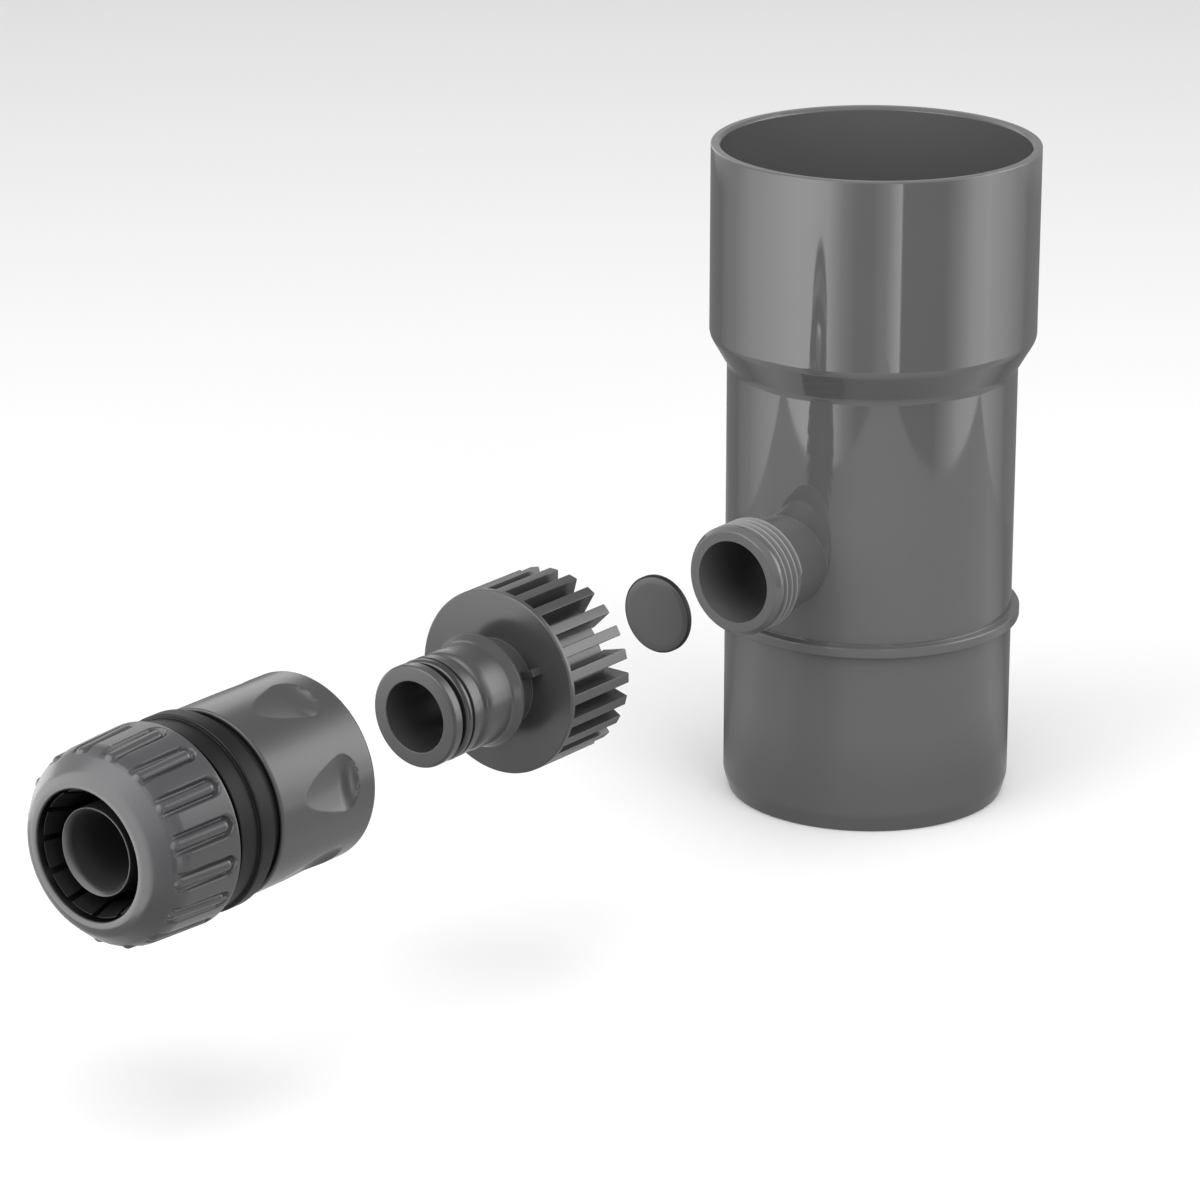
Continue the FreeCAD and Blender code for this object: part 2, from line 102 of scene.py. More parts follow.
def outline(shape, profile, axis):
    """Draws the closed profile as edges in the plane through the axis, with its corners rounded."""
    origin, along = axis
    corners = [shape.verts.new((origin + along * p[1] + ACROSS * p[0]) * MM) for p in profile]
    for a, b in zip(corners, corners[1:] + corners[:1]):
        shape.edges.new((a, b))
    for setback in sorted({p[2] for p in profile if len(p) > 2}):
        soft = [v for v, p in zip(corners, profile) if len(p) > 2 and p[2] == setback]
        bmesh.ops.bevel(shape, geom=soft, offset=setback * MM, offset_type="OFFSET", segments=4,
                        profile=0.5, affect="VERTICES", material=-1)


def add_rows(shape, axis, zone, spacing):
    """Divides the outline's long edges inside a zone of (low, high, least radius)."""
    origin, along = axis
    low, high, least = zone
    for edge in list(shape.edges):
        places = [v.co / MM - origin for v in edge.verts]
        heights = [p.dot(along) for p in places]
        radii = [(p - along * h).length for p, h in zip(places, heights)]
        if min(heights) >= low and max(heights) <= high and min(radii) >= least:
            cuts = int(edge.calc_length() / (spacing * MM))
            if cuts:
                bmesh.ops.subdivide_edges(shape, edges=[edge], cuts=cuts)


def press(shape, axis, relief):
    """Moves each vertex to the (radius, height) that relief gives for its radius, height, angle."""
    origin, along = axis
    for v in shape.verts:
        place = v.co / MM - origin
        height = place.dot(along)
        flat = place - along * height
        up = along.cross(ACROSS)
        angle = math.atan2(flat.dot(up), flat.dot(ACROSS))
        radius, height = relief(flat.length, height, angle)
        direction = ACROSS * math.cos(angle) + up * math.sin(angle)
        v.co = (origin + along * height + direction * radius) * MM


def turned(name, profile, axis, steps=192, zone=None, spacing=0.4, relief=None, crease=CREASE):
    """Spins a closed outline into a finished piece, with a relief pressed into it if given."""
    shape = bmesh.new()
    outline(shape, profile, axis)
    if zone:
        add_rows(shape, axis, zone, spacing)
    bmesh.ops.spin(shape, geom=shape.verts[:] + shape.edges[:], cent=axis[0] * MM, axis=axis[1],
                   angle=TURN, steps=steps, use_merge=True)
    bmesh.ops.remove_doubles(shape, verts=shape.verts[:], dist=SAME_PLACE)
    if relief:
        press(shape, axis, relief)
    bmesh.ops.recalc_face_normals(shape, faces=shape.faces[:])
    return finished(name, shape, crease)


def joined(target, other, how):
    """Adds or cuts the second piece, keeps the result in the first and removes the second."""
    cut = target.modifiers.new("join", "BOOLEAN")
    cut.operation = how
    cut.object = other
    cut.solver = "EXACT"
    target.modifiers.move(len(target.modifiers) - 1, 0)
    target.modifiers["even_shading"].show_viewport = False
    view = bpy.context.evaluated_depsgraph_get()
    mesh = bpy.data.meshes.new_from_object(target.evaluated_get(view))
    target.modifiers.remove(cut)
    target.modifiers["even_shading"].show_viewport = True
    mesh.name = target.name
    mesh.set_sharp_from_angle(angle=math.radians(CREASE))
    target.data = mesh
    bpy.data.objects.remove(other)
    print(target.name, "after", how.lower(), len(mesh.polygons), "faces")


# %% [markdown]
# ## Colours and nodes
# Colours are written as sRGB hex values, as a paint or plastics card gives them, and one function
# turns them into the linear values that Blender wants. One more function adds a node with its
# settings and links, so a material reads as a short list. Pattern sizes are given in millimetres.

# %% Colour and node helpers
def linear(hex_code):
    parts = [int(hex_code[i:i + 2], 16) / 255 for i in (1, 3, 5)]
    return [c / 12.92 if c <= 0.04045 else ((c + 0.055) / 1.055) ** 2.4 for c in parts] + [1.0]


def add_node(material, kind, settings=(), links=()):
    """Adds a node. settings are its inputs or properties, links are input: (node, output)."""
    node = material.node_tree.nodes.new(kind)
    for key, value in dict(settings).items():
        if isinstance(key, int) or key in node.inputs:
            node.inputs[key].default_value = value
        else:
            setattr(node, key, value)
    for key, (source, output) in dict(links).items():
        material.node_tree.links.new(source.outputs[output], node.inputs[key])
    return node


def per_mm(size):
    """Texture scale for a feature of this size in millimetres."""
    return 1000.0 / size


# %% [markdown]
# ## Moulded plastics
# All the greys are one family of graphite plastic, but the pieces come from different moulds. The
# finish of the mould decides the gloss: polished steel gives a wet gloss, spark erosion a satin
# one. So one recipe makes them all, with a slow drift of shade, a patchy gloss and a fine grain. A
# real grain of 0.05 mm is too fine to show, so it is drawn coarser, at about 0.5 mm, and very low.
# Long flat waves, as walls have after they shrink in the mould, only show on the polished fitting.

# %% Moulded plastic
DRIFT_MM, PATCH_MM, WAVE_MM, WAVE_UPRIGHT = 30, 9, 28, 0.35
PATCHY = 0.04


def moulded(name, pale, dark, roughness, grain, depth, wave=0.0, ior=1.5):
    """Plastic that drifts from dark to pale. grain is the size of its grain in mm, depth the
    height of the grain in mm, and wave the height in mm of the long waves."""
    material = bpy.data.materials.new(name)
    material.use_nodes = True
    shader = material.node_tree.nodes["Principled BSDF"]
    shader.inputs["IOR"].default_value = ior
    place = add_node(material, "ShaderNodeTexCoord")
    drift = add_node(material, "ShaderNodeTexNoise", {"Scale": per_mm(DRIFT_MM), "Detail": 3.0},
                     {"Vector": (place, "Object")})
    shade = add_node(material, "ShaderNodeMix", {"data_type": "RGBA", 6: linear(dark),
                                                 7: linear(pale)}, {0: (drift, "Fac")})
    gloss = add_node(material, "ShaderNodeTexNoise", {"Scale": per_mm(PATCH_MM), "Detail": 4.0},
                     {"Vector": (place, "Object")})
    patchy = add_node(material, "ShaderNodeMapRange",
                      {"To Min": roughness - PATCHY, "To Max": roughness + PATCHY},
                      {"Value": (gloss, "Fac")})
    fine = add_node(material, "ShaderNodeTexNoise", {"Scale": per_mm(grain), "Detail": 2.0},
                    {"Vector": (place, "Object")})
    bump = add_node(material, "ShaderNodeBump", {"Strength": 1.0, "Distance": depth * MM},
                    {"Height": (fine, "Fac")})
    if wave:
        stretch = add_node(material, "ShaderNodeMapping", {"Scale": (1.0, 1.0, WAVE_UPRIGHT)},
                           {"Vector": (place, "Object")})
        slow = add_node(material, "ShaderNodeTexNoise", {"Scale": per_mm(WAVE_MM), "Detail": 1.0},
                        {"Vector": (stretch, "Vector")})
        bump = add_node(material, "ShaderNodeBump", {"Strength": 1.0, "Distance": wave * MM},
                        {"Height": (slow, "Fac"), "Normal": (bump, "Normal")})
    links = material.node_tree.links
    links.new(shade.outputs[2], shader.inputs["Base Color"])
    links.new(patchy.outputs["Result"], shader.inputs["Roughness"])
    links.new(bump.outputs["Normal"], shader.inputs["Normal"])
    print("plastic", name)
    return material


# %% Plastics and rubbers of this object
# Rigid PVC from a polished mould: sharp reflections on a mid grey.
gloss_pvc = moulded("pvc_polished_mould", "#5f5f60", "#5b5b5c", 0.05, 0.9, 0.0002, wave=0.02)
# The same PVC on the thread, paler than the body and nearly matt.
matt_pvc = moulded("pvc_matt_thread", "#868687", "#808081", 0.36, 0.5, 0.002)
# ABS from a spark eroded mould: a satin skin whose highlights are broad and soft.
satin_grey = moulded("abs_spark_eroded", "#424243", "#3d3d3e", 0.25, 0.5, 0.002)
# Polypropylene: waxier than ABS, so the disc and the tail reflect less clearly.
disc_grey = moulded("pp_satin", "#424243", "#3d3d3e", 0.34, 0.5, 0.003)
tail_grey = moulded("pp_dark_satin", "#333334", "#2f2f30", 0.3, 0.5, 0.002)
# ABS of another batch for the nut, a shade lighter and a touch bluer than the sleeve.
nut_grey = moulded("abs_satin_nut", "#444446", "#3f3f41", 0.25, 0.5, 0.002)
# Black nylon: a dry satin skin with weak reflections, so it stays black beside the greys.
black_nylon = moulded("nylon_satin_black", "#0f0f10", "#0b0b0c", 0.46, 0.5, 0.002, ior=1.3)
# Acetal in its natural milk white, for the claws.
acetal = moulded("acetal_natural", "#d9d8d2", "#d2d1cb", 0.35, 0.6, 0.002)
# Moulded rubber is matt, and a greased seal ring shines.
rubber = moulded("epdm_rubber_moulded", "#131313", "#0f0f0f", 0.58, 0.35, 0.004, ior=1.33)
greased_rubber = moulded("epdm_rubber_greased", "#2b2b2b", "#252525", 0.2, 0.35, 0.001, ior=1.6)

# %% [markdown]
# ## Spring wire
# The return spring is drawn stainless wire. Drawing leaves fine lines along the wire, which give
# the metal a soft sheen rather than a mirror. They are far below 0.1 mm, so they are drawn as
# patches of 0.6 mm in the roughness.

# %% Drawn wire
drawn_wire = bpy.data.materials.new("stainless_drawn_wire")
drawn_wire.use_nodes = True
wire_shader = drawn_wire.node_tree.nodes["Principled BSDF"]
wire_shader.inputs["Metallic"].default_value = 1.0
wire_shader.inputs["Base Color"].default_value = linear("#b9b8b4")
wire_place = add_node(drawn_wire, "ShaderNodeTexCoord")
wire_lines = add_node(drawn_wire, "ShaderNodeTexNoise", {"Scale": per_mm(0.6), "Detail": 2.0},
                      {"Vector": (wire_place, "Object")})
wire_rough = add_node(drawn_wire, "ShaderNodeMapRange", {"To Min": 0.22, "To Max": 0.36},
                      {"Value": (wire_lines, "Fac")})
drawn_wire.node_tree.links.new(wire_rough.outputs["Result"], wire_shader.inputs["Roughness"])
print("wire", drawn_wire.name)


# %% [markdown]
# ## Dressing a piece
# Every piece gets the same few things: its material, the moving body that it rides on, and the CAD
# nodes that it stands for.

# %% Dressing a piece
def dress(piece, material, slot, body, *replaced):
    """Gives a piece its material, its body and the nodes it stands for. slot is not used."""
    piece.data.materials.clear()
    piece.data.materials.append(material)
    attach(piece, body)
    if replaced:
        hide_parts(*replaced)


# %% [markdown]
# ## The pipe fitting
# One moulding: the wide socket that takes the downpipe from above, the cone shoulder, the body with
# its stop bead, and the spigot with a tapered lead-in. Inside, an upstand called the weir leaves a
# ring-shaped trough, and the outlet draws from it. One closed profile gives the outer wall, the
# rim, the inner wall, the trough and the weir, so the wall has its real thickness everywhere. The
# stop bead has a flat face, which mirrors the same things as the wall, and small soft corners.

# %% Fitting profile
PIPE_R, PIPE_IN = 43.0, 40.2
SOCKET_R, SOCKET_BORE = 48.3, 45.3
BEAD_LOW, BEAD_TOP, BEAD_R = 55.0, 58.9, 45.4
CONE_Z, SOCKET_Z, TOP_Z = 133.1, 142.2, 199.3
TROUGH_Z, TROUGH_UNDER, WEIR_TOP = 69.0, 66.5, 98.6
WEIR_OUT, WEIR_IN = 32.0, 30.0

fitting_profile = [
    # the lead-in, then the stop bead on the wall
    (41.4, 0.0, 0.4), (PIPE_R, 5.2, 1.0),
    (PIPE_R, BEAD_LOW, 0.3), (BEAD_R, BEAD_LOW + 0.5, 0.6), (BEAD_R, BEAD_TOP - 0.2, 0.4),
    (PIPE_R, BEAD_TOP, 0.2),
    # the cone shoulder, the socket, its rim and its bore
    (PIPE_R, CONE_Z, 1.2), (SOCKET_R, SOCKET_Z, 1.2),
    (SOCKET_R, TOP_Z, 0.5), (SOCKET_BORE + 0.8, TOP_Z, 0.3), (SOCKET_BORE, TOP_Z - 0.8, 0.3),
    (SOCKET_BORE, 142.9, 0.8), (PIPE_IN, 134.5, 0.8),
    # the trough, the weir and the way down inside it
    (PIPE_IN, TROUGH_Z, 0.6), (WEIR_OUT, TROUGH_Z, 0.6),
    (WEIR_OUT, WEIR_TOP, 0.5), (WEIR_IN, WEIR_TOP, 0.5),
    (WEIR_IN, TROUGH_UNDER, 0.4), (PIPE_IN, TROUGH_UNDER, 0.6), (PIPE_IN, 0.0, 0.4),
]
fitting = turned("pipe_fitting", fitting_profile, PIPE, steps=288)

# %% [markdown]
# ## The outlet neck
# The neck leaves the wall with a tiny fillet that follows the saddle where two cylinders meet, and
# widens towards the thread. It is turned like the rest, but the first corners count their distance
# from the pipe's wall, not from its axis. Pressing them onto the wall bends the foot into a saddle.
# A boolean joins it to the pipe, and a second one bores it through into the trough, as the core pin
# of the mould does.

# %% Neck and bore
NECK_R, NECK_END = 15.0, 68.5
BORE_R, BORE_FROM, BORE_TO = 12.2, 36.1, 69.5
FOOT_R, FILLET, FOOT_SPREAD, FOOT_SINK, FOOT_HIGH = 13.5, 0.1, 0.5, 1.5, 3.0
THREAD_ROOT_R, THREAD_ROOT_FROM = 14.4, 56.0
LAND_R, LAND_FROM = 16.35, 65.7


def on_wall(radius, height, angle):
    """Counts the foot's corners from the pipe's wall, below the point at this radius and angle."""
    if height > FOOT_HIGH:
        return radius, height
    side = min(radius * math.cos(angle), PIPE_R) if radius else 0.0
    return radius, height + math.sqrt(PIPE_R ** 2 - side ** 2)


foot = [(0.0, -FOOT_SINK), (FOOT_R + FILLET + FOOT_SPREAD, -FOOT_SINK),
        (FOOT_R + FILLET + FOOT_SPREAD, -0.5)]
for step in range(6):
    lift = math.radians(12 + 78 * step / 5)
    foot.append((FOOT_R + FILLET * (1 - math.sin(lift)), FILLET * (1 - math.cos(lift))))
neck_profile = foot + [
    (NECK_R, THREAD_ROOT_FROM, 0.4), (THREAD_ROOT_R, THREAD_ROOT_FROM + 0.8, 0.3),
    (THREAD_ROOT_R, 65.2, 0.15), (LAND_R, LAND_FROM, 0.2), (LAND_R, 67.0, 0.3),
    (15.1, NECK_END, 0.25), (0.0, NECK_END),
]
neck = turned("neck", neck_profile, OUTLET, relief=on_wall)
bore_profile = [(0, BORE_FROM), (BORE_R, BORE_FROM), (BORE_R, BORE_TO), (0, BORE_TO)]
bore = turned("bore", bore_profile, OUTLET)
joined(fitting, neck, "UNION")
joined(fitting, bore, "DIFFERENCE")
dress(fitting, gloss_pvc, "body_plastic", "pipe", "diverter_body")

# %% [markdown]
# ## The outlet's thread
# It is a coarse pipe thread of four turns behind the plain land at the mouth. A true thread is a
# helix, so the section of the ridge is extruded step by step, each step turned and moved on a
# little. The last few steps drop to the root, which gives the blunt end of a moulded thread.

# %% A ridge that runs round in a helix
TURN_STEPS = 96


def of_kind(parts, kind):
    return [part for part in parts if isinstance(part, kind)]


def edges_within(parts, fresh):
    """The edges among the parts whose ends are both among the fresh vertices."""
    return [e for e in of_kind(parts, bmesh.types.BMEdge) if all(v in fresh for v in e.verts)]


def helix_ridge(section, axis, start_angle, turns, pitch):
    """Extrudes the section along a right-handed helix. Returns the shape and its sections."""
    shape = bmesh.new()
    origin, along = axis
    ring = [shape.verts.new((origin + along * h + ACROSS * r) * MM) for r, h in section]
    edges = [shape.edges.new((a, b)) for a, b in zip(ring, ring[1:] + ring[:1])]
    bmesh.ops.rotate(shape, verts=ring, cent=origin * MM,
                     matrix=Matrix.Rotation(start_angle, 3, along))
    shape.faces.new(ring)
    steps = int(turns * TURN_STEPS)
    rings = [ring]
    for _ in range(steps):
        made = bmesh.ops.extrude_edge_only(shape, edges=edges)["geom"]
        fresh = of_kind(made, bmesh.types.BMVert)
        edges = edges_within(made, fresh)
        bmesh.ops.rotate(shape, verts=fresh, cent=origin * MM,
                         matrix=Matrix.Rotation(-TURN / TURN_STEPS, 3, along))
        bmesh.ops.translate(shape, verts=fresh, vec=-along * pitch / TURN_STEPS * MM)
        rings.append(fresh)
    bmesh.ops.contextual_create(shape, geom=edges)
    return shape, rings


def run_out(rings, axis, root_r, count):
    """Lowers the crest of the last rings down to just below the root."""
    origin, along = axis
    sunk = root_r - 0.1
    for i, ring in enumerate(rings[::-1][:count]):
        share = math.sin(math.pi / 2 * i / count)
        for v in ring:
            place = v.co / MM - origin
            height = along * place.dot(along)
            flat = place - height
            if flat.length > root_r:
                radius = sunk + (flat.length - sunk) * share
                v.co = (origin + height + flat.normalized() * radius) * MM


# %% Thread
PITCH, CREST_R = 2.44, 16.4
THREAD_TURNS, THREAD_START, RUN_OUT = 3.9, math.radians(-36), 3

ridge = [(14.2, 66.84), (14.5, 66.8), (15.6, 66.5), (16.2, 66.34), (CREST_R, 66.08),
         (16.2, 65.82), (15.6, 65.66), (14.5, 65.36), (14.2, 65.32)]
thread_shape, thread_rings = helix_ridge(ridge, OUTLET, THREAD_START, THREAD_TURNS, PITCH)
run_out(thread_rings, OUTLET, THREAD_ROOT_R, RUN_OUT)
bmesh.ops.recalc_face_normals(thread_shape, faces=thread_shape.faces[:])
thread = finished("outlet_thread", thread_shape)
dress(thread, matt_pvc, "body_plastic", "pipe")

# %% [markdown]
# ## The blanking disc
# A small stiff disc in a shallow cup of black rubber, which seals. The cup's thin wall is the dark
# line that is seen round the disc's edge. Both are turned.

# %% Disc
DISC_R, CUP_R, DISC_BACK, DISC_FRONT, CUP_BACK, CUP_EDGE = 11.0, 11.3, 103.8, 105.0, 103.1, 104.7
disc_profile = [(0, DISC_BACK), (DISC_R, DISC_BACK), (DISC_R, DISC_FRONT - 0.25, 0.3),
                (9.6, DISC_FRONT, 0.8), (0, DISC_FRONT)]
cup_profile = [(0, CUP_BACK), (CUP_R, CUP_BACK, 0.2), (CUP_R, CUP_EDGE, 0.15),
               (DISC_R, CUP_EDGE, 0.1), (DISC_R, DISC_BACK), (0, DISC_BACK)]
disc = turned("blanking_disc_face", disc_profile, OUTLET, steps=128)
dress(disc, disc_grey, "disc_plastic", "disc", "blanking_disc")
seal = turned("disc_seal_rubber", cup_profile, OUTLET, steps=128)
dress(seal, rubber, "rubber", "disc", "disc_seal")

# %% [markdown]
# ## The screw adapter
# One moulding again: a cap with an inner thread, a flange, 24 grip ribs that reach back from the
# flange over the cap, and the nipple that the hose connector catches on. The nipple's outline has,
# from its end: a lip, the groove of the seal ring, a land, the catch groove with its flared side,
# the long body, and the stop collar.

# %% Adapter
FLANGE_OUT, FLANGE_R, NIPPLE_END = 176.1, 26.0, 210.9
CAP_BORE, CAP_R, CAP_END, CAP_FLOOR = 16.8, 19.6, 153.5, 173.1
NIPPLE_R, NIPPLE_BORE = 14.3, 9.9
RIB_TIP, RIBS, RIB_W = 151.0, 24, 3.0

adapter_profile = [
    # the cap and the flange
    (CAP_BORE, CAP_FLOOR, 0.5), (CAP_BORE, CAP_END, 0.4), (CAP_R, CAP_END, 0.3),
    (CAP_R, FLANGE_OUT - 1.6, 0.3), (FLANGE_R, FLANGE_OUT - 1.6, 0.2), (FLANGE_R, FLANGE_OUT, 0.5),
    # the stop collar, the long body and the catch groove
    (12.4, FLANGE_OUT, 0.2), (12.4, 183.6, 0.2), (16.0, 183.6, 0.25), (16.0, 184.6, 0.25),
    (14.4, 187.0, 0.6), (NIPPLE_R, 195.0, 0.8), (13.9, 196.6, 0.4), (12.9, 197.4, 0.25),
    (12.9, 200.1, 0.2),
    # the land, the groove of the seal ring, the lip and the bore
    (NIPPLE_R, 200.1, 0.15), (NIPPLE_R, 202.6, 0.15), (12.1, 202.6, 0.2), (12.1, 207.9, 0.2),
    (NIPPLE_R, 207.9, 0.15), (NIPPLE_R, 210.4, 0.2), (13.8, NIPPLE_END, 0.2),
    (NIPPLE_BORE, NIPPLE_END, 0.25), (NIPPLE_BORE, CAP_FLOOR, 0.3),
]
adapter = turned("screw_adapter", adapter_profile, OUTLET, steps=224)
dress(adapter, satin_grey, "adapter_plastic", "adapter", "outlet_adapter")

# %% [markdown]
# ## Ribs and key
# Each rib is a bar with softened edges. One is made from a cube at its place and spun into the
# others as copies. The small key beside the stop collar is made the same way.

# %% Bars on the outlet's axis
def bar(shape, low, high, radii, width, degrees, round_off):
    """A bar between two heights and two radii, centred on a direction, with rounded edges."""
    made = bmesh.ops.create_cube(shape, size=1.0)["verts"]
    size = Vector((radii[1] - radii[0], high - low, width))
    bmesh.ops.scale(shape, verts=made, vec=size * MM)
    origin, along = OUTLET
    middle = origin + along * (low + high) / 2 + ACROSS * (radii[0] + radii[1]) / 2
    bmesh.ops.translate(shape, verts=made, vec=middle * MM)
    bmesh.ops.rotate(shape, verts=made, cent=origin * MM,
                     matrix=Matrix.Rotation(math.radians(degrees), 3, along))
    edges = list({e for v in made for e in v.link_edges})
    bmesh.ops.bevel(shape, geom=edges, offset=round_off * MM, offset_type="OFFSET", segments=2,
                    profile=0.5, affect="EDGES", material=-1)


def copied_round(shape, axis, count):
    """Repeats the whole shape round the axis, so that there are count of it."""
    bmesh.ops.spin(shape, geom=shape.verts[:] + shape.edges[:] + shape.faces[:],
                   cent=axis[0] * MM, axis=axis[1], angle=TURN * (count - 1) / count,
                   steps=count - 1, use_duplicate=True)


# %% Ribs and key
SOFT_EDGE, KEY_W, KEY_AT = 0.3, 2.2, 24.0
rib_shape = bmesh.new()
bar(rib_shape, RIB_TIP, FLANGE_OUT - 0.8, (18.2, FLANGE_R), RIB_W, 0.0, SOFT_EDGE)
copied_round(rib_shape, OUTLET, RIBS)
bar(rib_shape, FLANGE_OUT - 0.5, FLANGE_OUT + 3.5, (12.1, 16.8), KEY_W, KEY_AT, SOFT_EDGE)
grip_ribs = finished("adapter_ribs", rib_shape)
dress(grip_ribs, satin_grey, "adapter_plastic", "adapter")

# %% [markdown]
# ## The seal ring
# A seal ring has a round section, a little flattened where it is stretched over the nipple. It is a
# small ellipse of vertices, spun about the axis. Its crease angle is wide, so it shades as round.

# %% Seal ring of the nipple
RING_R, RING_AT, HALF_THICK, HALF_WIDE, RING_CORNERS = 13.25, 204.15, 1.1, 1.5, 20
ring_section = []
for corner in range(RING_CORNERS):
    angle = TURN * corner / RING_CORNERS
    ring_section.append((RING_R + HALF_THICK * math.cos(angle),
                         RING_AT + HALF_WIDE * math.sin(angle)))
nipple_ring = turned("nipple_seal_ring", ring_section, OUTLET, steps=160, crease=80)
dress(nipple_ring, greased_rubber, "rubber", "seal_ring", "nipple_o_ring")

# %% [markdown]
# ## The release collar
# The sleeve that the fingers pull back. It is a turned tube with six dimples, each a teardrop:
# deep with a sharp end at the rear, and running out towards the nut. The real ones are the print
# of a fat round cutter that dips into the wall, so each vertex of the skin is moved in to where
# that cutter's surface would be.

# %% Collar
COLLAR_R, COLLAR_LEN = 25.5, 36.3
DIMPLES, DIMPLE_FIRST = 6, math.radians(10)
DIMPLE_FROM, DIMPLE_TO, DIMPLE_DEEP = 5.0, 27.0, 3.2
CUTTER_R, CUTTER_TIP, CUTTER_NOSE = 28.0, 20.4, 8.0


def dimpled(radius, height, angle):
    """The sleeve's skin: the turned one, or the cutter's surface where the cutter went deeper."""
    if radius < COLLAR_R - 0.3 or height < DIMPLE_FROM or height > DIMPLE_TO:
        return radius, height
    step = TURN / DIMPLES
    off = (angle - DIMPLE_FIRST + step / 2) % step - step / 2
    run = (height - DIMPLE_FROM) / CUTTER_NOSE
    cutter = CUTTER_R if run >= 1 else CUTTER_TIP + (CUTTER_R - CUTTER_TIP) * math.sqrt(
        1 - (1 - run) ** 2)
    centre = COLLAR_R - DIMPLE_DEEP + CUTTER_R + DIMPLE_DEEP * (height - DIMPLE_FROM) / (
        DIMPLE_TO - DIMPLE_FROM)
    inside = cutter ** 2 - (centre * math.sin(off)) ** 2
    if inside <= 0:
        return radius, height
    return min(radius, centre * math.cos(off) - math.sqrt(inside)), height


collar_profile = [
    # outside, then back through the three steps of the bore
    (18.0, 0, 0.4), (COLLAR_R, 0, 1.2), (COLLAR_R, COLLAR_LEN, 0.6), (24.5, COLLAR_LEN, 0.2),
    (24.5, 25.6), (23.4, 25.6), (23.4, 17.5), (20.0, 17.5), (20.0, 12.5), (22.0, 12.5),
    (22.0, 2.4), (18.0, 2.4, 0.4),
]
collar = turned("release_sleeve", collar_profile, CONNECTOR, steps=432,
                zone=(1.0, 36.0, COLLAR_R - 0.1), spacing=0.45, relief=dimpled, crease=28)
dress(collar, satin_grey, "connector_plastic", "collar", "release_collar")

# %% [markdown]
# ## The connector's body
# Black nylon that carries everything: the tube that takes the nipple, the drum under the collar,
# two rings between collar and nut, and the stem with the nut's thread.

# %% Body
body_profile = [
    # the tube for the nipple, then the drum under the sleeve and the two rings
    (9.1, 29.0, 0.3), (14.6, 29.0, 0.3), (14.6, 3.3, 0.3), (16.3, 1.6, 0.2), (17.3, 1.6, 0.3),
    (17.3, 29.5, 0.3), (24.2, 29.5, 0.3), (24.2, 40.2, 0.2), (26.4, 40.2, 0.3), (26.4, 45.0, 0.45),
    (25.35, 45.0, 0.2), (25.3, 51.2, 0.35), (23.5, 51.2, 0.2), (23.5, 53.2, 0.2), (22.2, 53.2),
    # the stem for the nut's thread, the gap for the hose and the seat of the tail
    (22.2, 63.0, 0.4), (20.0, 63.0, 0.2), (20.0, 38.0), (17.3, 38.0), (17.3, 63.0, 0.2),
    (14.9, 63.0, 0.3), (14.9, 33.0), (9.1, 33.0),
]
body = turned("connector_core", body_profile, CONNECTOR, steps=224)
dress(body, black_nylon, "black_plastic", "connector", "connector_body")

# %% [markdown]
# ## The hose tail
# The grey tube in the mouth, which the hose is pushed over. Its edge is thin and its bore opens in
# a long round funnel, and three low barbs further in hold the hose.

# %% Hose tail
TAIL_R, TAIL_BORE, TAIL_FOOT, BARB_R, BARB_LEN = 11.7, 9.0, 33.1, 12.2, 4.2
tail_profile = [(TAIL_BORE, TAIL_FOOT), (14.8, TAIL_FOOT, 0.2), (14.8, 36.0, 0.2),
                (TAIL_R, 36.0, 0.4)]
for barb in (43.0, 50.0, 57.0):
    tail_profile += [(TAIL_R, barb), (BARB_R, barb, 0.1), (TAIL_R, barb + BARB_LEN)]
tail_profile += [(TAIL_R, 77.0, 0.2), (11.4, 77.3, 0.15), (10.2, 75.9, 0.9),
                 (TAIL_BORE, 70.5, 2.0)]
tail = turned("hose_tail_tube", tail_profile, CONNECTOR, steps=160)
dress(tail, tail_grey, "connector_plastic", "connector", "hose_tail")

# %% [markdown]
# ## The grip fingers
# A ring of twelve black fingers closes on the hose when the nut is turned. One finger's section is
# spun over its own width, capped, and copied round. The base ring ties them together.

# %% Fingers
FINGERS, FINGER_GAP, FINGER_STEPS = 12, math.radians(6.0), 8
finger_profile = [(14.6, 65.3), (19.0, 65.3), (16.9, 78.4, 0.2), (16.5, 78.5, 0.1), (14.6, 72.5)]
base_profile = [(14.9, 63.3, 0.2), (21.9, 63.3, 0.3), (21.9, 65.8, 0.3), (14.9, 65.8, 0.2)]

finger_shape = bmesh.new()
outline(finger_shape, finger_profile, CONNECTOR)
bmesh.ops.rotate(finger_shape, verts=finger_shape.verts[:], cent=CONNECTOR[0] * MM,
                 matrix=Matrix.Rotation(FINGER_GAP / 2, 3, CONNECTOR[1]))
first_edges = finger_shape.edges[:]
bmesh.ops.contextual_create(finger_shape, geom=first_edges)
spun = bmesh.ops.spin(finger_shape, geom=finger_shape.verts[:] + first_edges,
                      cent=CONNECTOR[0] * MM, axis=CONNECTOR[1], angle=TURN / FINGERS - FINGER_GAP,
                      steps=FINGER_STEPS)
bmesh.ops.contextual_create(finger_shape, geom=of_kind(spun["geom_last"], bmesh.types.BMEdge))
bmesh.ops.recalc_face_normals(finger_shape, faces=finger_shape.faces[:])
copied_round(finger_shape, CONNECTOR, FINGERS)
finger_ring = finished("grip_fingers", finger_shape)
finger_base = turned("grip_finger_base", base_profile, CONNECTOR, steps=120)
dress(finger_ring, black_nylon, "black_plastic", "collet", "hose_collet")
dress(finger_base, black_nylon, "black_plastic", "collet")

